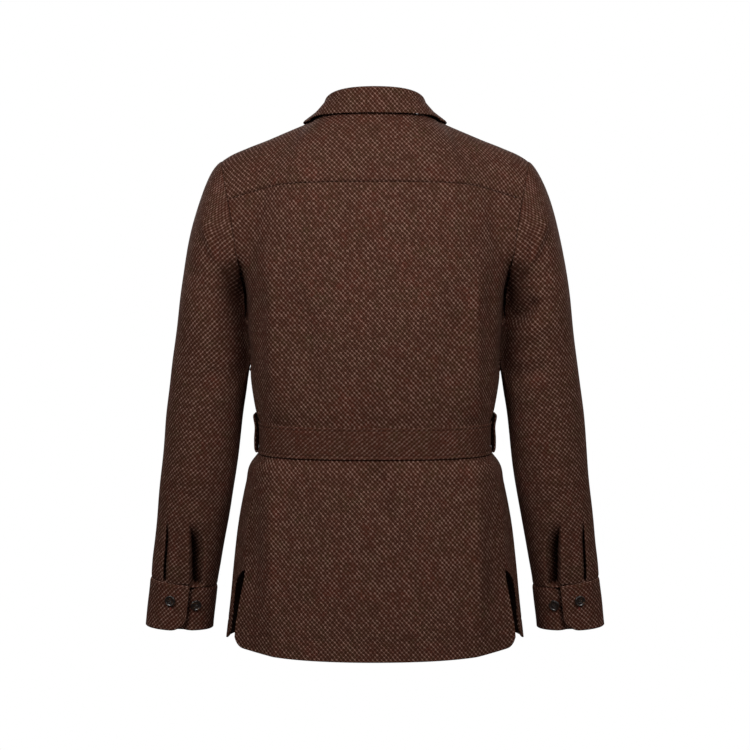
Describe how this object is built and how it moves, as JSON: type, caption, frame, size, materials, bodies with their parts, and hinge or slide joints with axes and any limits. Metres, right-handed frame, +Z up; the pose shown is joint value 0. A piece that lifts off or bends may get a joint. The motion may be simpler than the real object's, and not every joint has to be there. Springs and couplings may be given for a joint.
{
  "type": "safari jacket",
  "caption": "Belted tweed safari jacket with a fold-over collar, back yoke, buttoned front, side vents and long sleeves with buttoned cuffs, hollow as when worn.",
  "frame": {"origin": "middle of the neck opening at the height of the neck ends of the shoulder seams, where the wearer's shoulders hold the jacket", "axes": "+Z up, +Y to the back, +X to the wearer's left"},
  "size_m": [0.6378, 0.2656, 0.7528],
  "materials": {
    "tweed": "matte woollen barleycorn weave",
    "horn": "polished dark horn"
  },
  "bodies": {
    "root": {"back": "tweed", "back_yoke": "tweed", "front_left": "tweed", "front_right": "tweed", "sleeve_left": "tweed", "sleeve_right": "tweed", "cuff_left": "tweed", "cuff_right": "tweed", "collar": "tweed", "belt": "tweed", "belt_loop_left": "tweed", "belt_loop_right": "tweed", "cuff_button_left_1": "horn", "cuff_button_left_2": "horn", "cuff_button_right_1": "horn", "cuff_button_right_2": "horn", "front_button_1": "horn", "front_button_2": "horn", "front_button_3": "horn", "front_button_4": "horn", "front_button_5": "horn", "front_button_6": "horn", "belt_button": "horn"}
  },
  "joints": []
}
